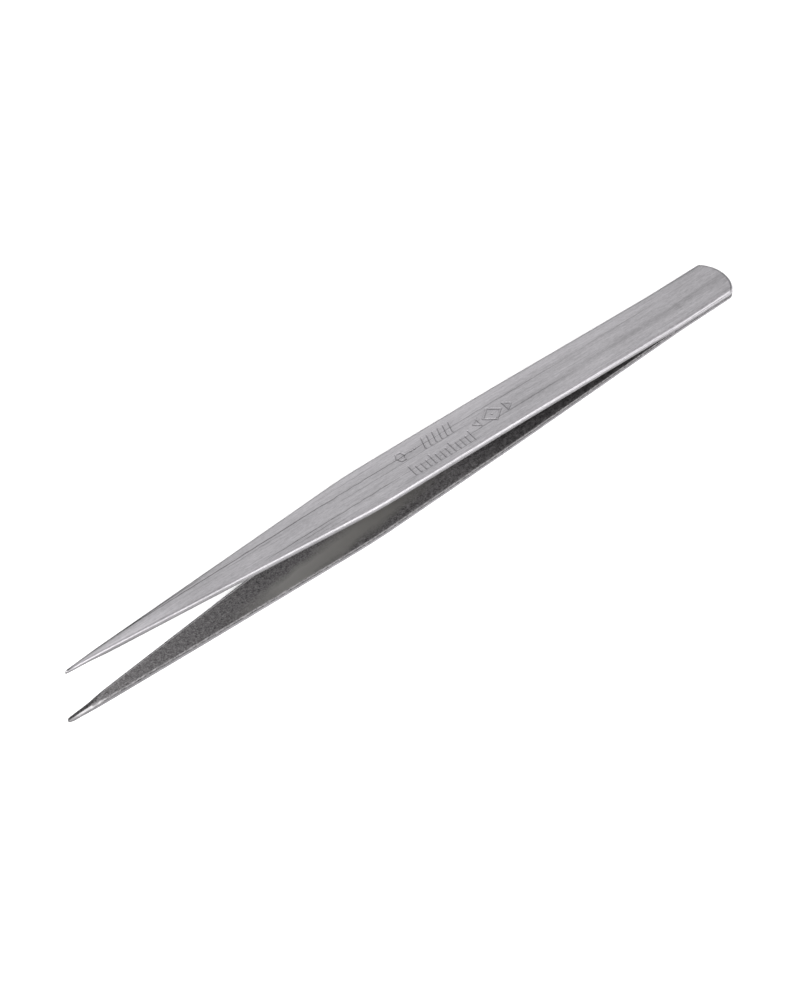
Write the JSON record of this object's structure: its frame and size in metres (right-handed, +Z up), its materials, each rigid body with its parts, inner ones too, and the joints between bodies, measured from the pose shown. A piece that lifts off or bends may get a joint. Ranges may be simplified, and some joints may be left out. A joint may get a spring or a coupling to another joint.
{
  "type": "precision tweezers",
  "caption": "Fine-pointed precision tweezers: two sprung steel arms spot welded face to face at a round-ended heel, widening to a shoulder and tapering to sharp tips.",
  "frame": {"origin": "middle of the bounding box, on the surface that the tweezers lie on", "axes": "+X along the length towards the tips, +Y across the width of the arms, +Z up from the surface, from the lower arm to the upper arm"},
  "size_m": [0.1402, 0.0086, 0.0138],
  "materials": {
    "satin_steel": "satin, brushed along the length outside and matte blasted inside",
    "weld_metal": "matte, discoloured by the welding heat"
  },
  "bodies": {
    "heel": {"upper_heel": "satin_steel", "lower_heel": "satin_steel", "rear_spot_weld": "weld_metal", "front_spot_weld": "weld_metal"},
    "upper_arm": {"upper_blade": "satin_steel"},
    "lower_arm": {"lower_blade": "satin_steel"}
  },
  "joints": [
    {"name": "upper_arm_flex", "type": "hinge", "parent": "heel", "child": "upper_arm", "pos_m": [-0.03716, 0, 0.00422], "axis": [0, 1, 0], "range_deg": [0, 3.26], "stiffness_Nm_per_rad": 2.9},
    {"name": "lower_arm_flex", "type": "hinge", "parent": "heel", "child": "lower_arm", "pos_m": [-0.03701, 0, 0.00079], "axis": [0, -1, 0], "range_deg": [0, 3.26], "stiffness_Nm_per_rad": 2.9}
  ]
}
